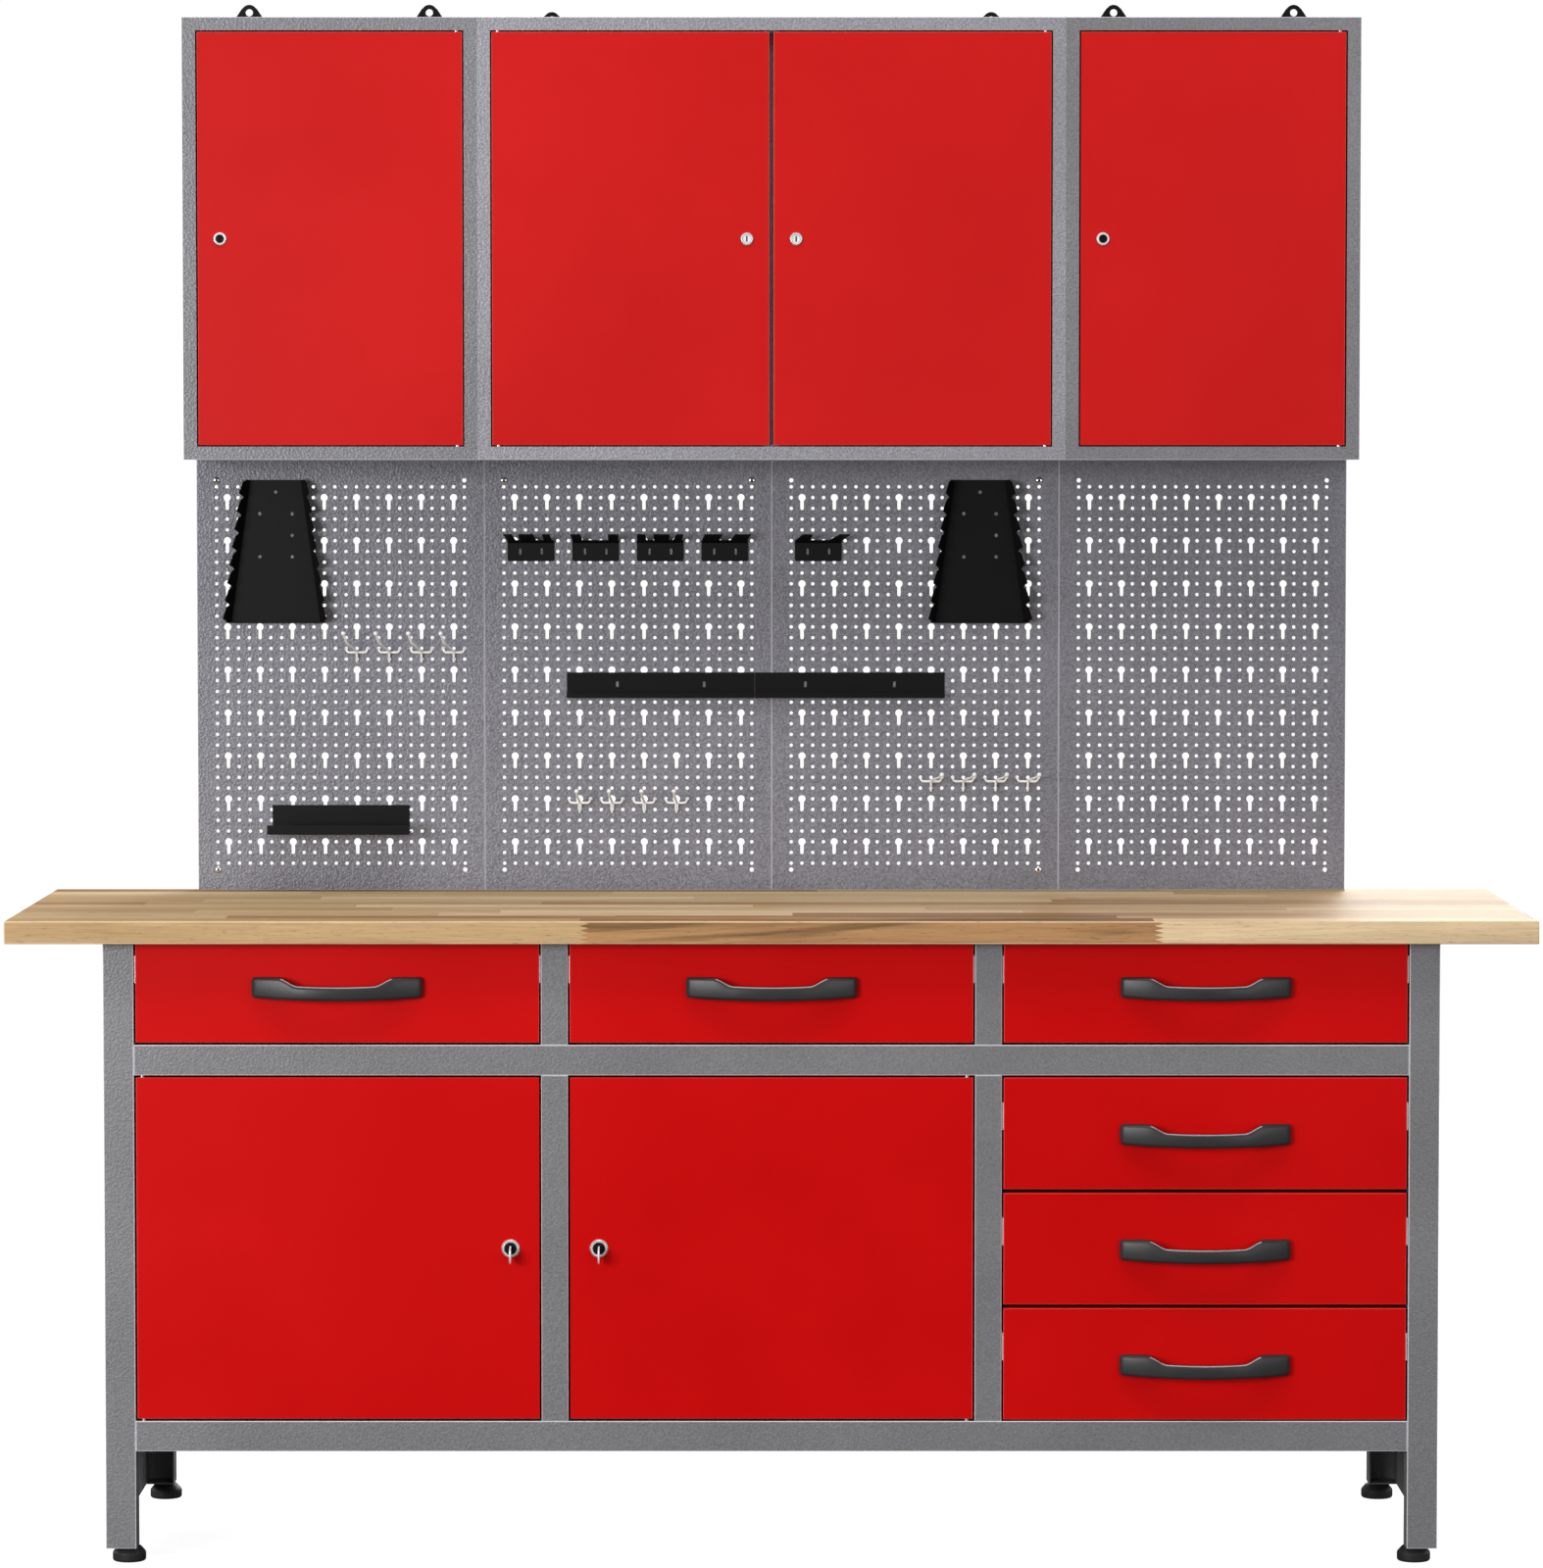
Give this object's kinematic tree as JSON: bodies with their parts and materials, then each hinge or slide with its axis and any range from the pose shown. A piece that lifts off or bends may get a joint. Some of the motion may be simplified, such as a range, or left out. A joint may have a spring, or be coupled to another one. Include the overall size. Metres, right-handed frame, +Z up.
{
  "type": "workbench with drawers",
  "caption": "Steel workbench with wood top, drawers and locking doors, under perforated tool panels with racks and hooks and lockable wall cabinets.",
  "frame": {"origin": "on the floor, under the middle of the worktop", "axes": "+X to the right as seen from the front, the fronts face -Y and the wall is at +Y, +Z up"},
  "size_m": [2, 0.6, 2.081],
  "materials": {
    "beech": "oiled glued beech staves",
    "frame_grey": "fine hammertone powder coat",
    "cabinet_grey": "fine hammertone powder coat",
    "panel_grey": "bluish hammertone powder coat",
    "drawer_red": "smooth red powder coat",
    "cabinet_red": "smooth red powder coat",
    "tray_steel": "galvanised sheet",
    "zinc": "zinc plated",
    "bright_zinc": "bright zinc plated wire",
    "chrome": "polished nickel and chrome",
    "handle_plastic": "satin moulded plastic",
    "foot_plastic": "matte moulded plastic",
    "black_steel": "semi-matte black powder coat"
  },
  "bodies": {
    "frame": {"worktop": "beech", "side_panels": "frame_grey", "legs": "frame_grey", "front_rails": "frame_grey", "hidden_rails": "frame_grey", "divider_left": "frame_grey", "divider_right": "frame_grey", "back_panel": "frame_grey", "floor_panel": "frame_grey", "bench_shelves": "frame_grey", "foot_glides": "foot_plastic", "fixed_runners": "zinc", "hinge_pins": "zinc", "cabinet_left_case": "cabinet_grey", "cabinet_middle_case": "cabinet_grey", "cabinet_right_case": "cabinet_grey", "cabinet_shelves": "cabinet_grey", "hanging_brackets": "black_steel", "pegboard_1": "panel_grey", "pegboard_2": "panel_grey", "pegboard_3": "panel_grey", "pegboard_4": "panel_grey", "panel_screws": "chrome", "spanner_rack_left": "black_steel", "spanner_rack_right": "black_steel", "tool_clips": "black_steel", "tool_strips": "black_steel", "small_shelf": "black_steel", "wire_hooks": "bright_zinc"},
    "drawer_top_left": {"drawer_top_left_front": "drawer_red", "drawer_top_left_tray": "tray_steel", "drawer_top_left_handle": "handle_plastic"},
    "drawer_top_middle": {"drawer_top_middle_front": "drawer_red", "drawer_top_middle_tray": "tray_steel", "drawer_top_middle_handle": "handle_plastic"},
    "drawer_top_right": {"drawer_top_right_front": "drawer_red", "drawer_top_right_tray": "tray_steel", "drawer_top_right_handle": "handle_plastic"},
    "drawer_column_upper": {"drawer_column_upper_front": "drawer_red", "drawer_column_upper_tray": "tray_steel", "drawer_column_upper_handle": "handle_plastic"},
    "drawer_column_middle": {"drawer_column_middle_front": "drawer_red", "drawer_column_middle_tray": "tray_steel", "drawer_column_middle_handle": "handle_plastic"},
    "drawer_column_lower": {"drawer_column_lower_front": "drawer_red", "drawer_column_lower_tray": "tray_steel", "drawer_column_lower_handle": "handle_plastic"},
    "bench_door_left_leaf": {"bench_door_left": "drawer_red"},
    "bench_door_left_lock_plug": {"bench_door_left_lock": "chrome"},
    "bench_door_middle_leaf": {"bench_door_middle": "drawer_red"},
    "bench_door_middle_lock_plug": {"bench_door_middle_lock": "chrome"},
    "cabinet_door_left_leaf": {"cabinet_door_left": "cabinet_red"},
    "cabinet_door_left_lock_plug": {"cabinet_door_left_lock": "chrome"},
    "cabinet_door_middle_left_leaf": {"cabinet_door_middle_left": "cabinet_red"},
    "cabinet_door_middle_left_lock_plug": {"cabinet_door_middle_left_lock": "chrome"},
    "cabinet_door_middle_right_leaf": {"cabinet_door_middle_right": "cabinet_red"},
    "cabinet_door_middle_right_lock_plug": {"cabinet_door_middle_right_lock": "chrome"},
    "cabinet_door_right_leaf": {"cabinet_door_right": "cabinet_red"},
    "cabinet_door_right_lock_plug": {"cabinet_door_right_lock": "chrome"}
  },
  "joints": [
    {"name": "drawer_top_left_slide", "type": "slide", "parent": "frame", "child": "drawer_top_left", "axis": [0, -1, 0], "range_m": [0, 0.4]},
    {"name": "drawer_top_middle_slide", "type": "slide", "parent": "frame", "child": "drawer_top_middle", "axis": [0, -1, 0], "range_m": [0, 0.4]},
    {"name": "drawer_top_right_slide", "type": "slide", "parent": "frame", "child": "drawer_top_right", "axis": [0, -1, 0], "range_m": [0, 0.4]},
    {"name": "drawer_column_upper_slide", "type": "slide", "parent": "frame", "child": "drawer_column_upper", "axis": [0, -1, 0], "range_m": [0, 0.4]},
    {"name": "drawer_column_middle_slide", "type": "slide", "parent": "frame", "child": "drawer_column_middle", "axis": [0, -1, 0], "range_m": [0, 0.4]},
    {"name": "drawer_column_lower_slide", "type": "slide", "parent": "frame", "child": "drawer_column_lower", "axis": [0, -1, 0], "range_m": [0, 0.4]},
    {"name": "bench_door_left_hinge", "type": "hinge", "parent": "frame", "child": "bench_door_left_leaf", "pos_m": [-0.8245, -0.259, 0.417], "axis": [0, 0, -1], "range_deg": [0, 110]},
    {"name": "bench_door_left_lock_turn", "type": "hinge", "parent": "bench_door_left_leaf", "child": "bench_door_left_lock_plug", "pos_m": [-0.34217, -0.264, 0.417], "axis": [0, -1, 0], "range_deg": [0, 90]},
    {"name": "bench_door_middle_hinge", "type": "hinge", "parent": "frame", "child": "bench_door_middle_leaf", "pos_m": [0.25617, -0.259, 0.417], "axis": [0, 0, 1], "range_deg": [0, 90]},
    {"name": "bench_door_middle_lock_turn", "type": "hinge", "parent": "bench_door_middle_leaf", "child": "bench_door_middle_lock_plug", "pos_m": [-0.22617, -0.264, 0.417], "axis": [0, 1, 0], "range_deg": [0, 90]},
    {"name": "cabinet_door_left_hinge", "type": "hinge", "parent": "frame", "child": "cabinet_door_left_leaf", "pos_m": [-0.428, 0.104, 1.75], "axis": [0, 0, 1], "range_deg": [0, 90]},
    {"name": "cabinet_door_left_lock_turn", "type": "hinge", "parent": "cabinet_door_left_leaf", "child": "cabinet_door_left_lock_plug", "pos_m": [-0.7495, 0.099, 1.75], "axis": [0, 1, 0], "range_deg": [0, 90]},
    {"name": "cabinet_door_middle_left_hinge", "type": "hinge", "parent": "frame", "child": "cabinet_door_middle_left_leaf", "pos_m": [-0.372, 0.104, 1.75], "axis": [0, 0, -1], "range_deg": [0, 90]},
    {"name": "cabinet_door_middle_left_lock_turn", "type": "hinge", "parent": "cabinet_door_middle_left_leaf", "child": "cabinet_door_middle_left_lock_plug", "pos_m": [-0.0335, 0.099, 1.75], "axis": [0, -1, 0], "range_deg": [0, 90]},
    {"name": "cabinet_door_middle_right_hinge", "type": "hinge", "parent": "frame", "child": "cabinet_door_middle_right_leaf", "pos_m": [0.372, 0.104, 1.75], "axis": [0, 0, 1], "range_deg": [0, 100]},
    {"name": "cabinet_door_middle_right_lock_turn", "type": "hinge", "parent": "cabinet_door_middle_right_leaf", "child": "cabinet_door_middle_right_lock_plug", "pos_m": [0.0335, 0.099, 1.75], "axis": [0, 1, 0], "range_deg": [0, 90]},
    {"name": "cabinet_door_right_hinge", "type": "hinge", "parent": "frame", "child": "cabinet_door_right_leaf", "pos_m": [0.772, 0.104, 1.75], "axis": [0, 0, 1], "range_deg": [0, 100]},
    {"name": "cabinet_door_right_lock_turn", "type": "hinge", "parent": "cabinet_door_right_leaf", "child": "cabinet_door_right_lock_plug", "pos_m": [0.4505, 0.099, 1.75], "axis": [0, 1, 0], "range_deg": [0, 90]}
  ]
}
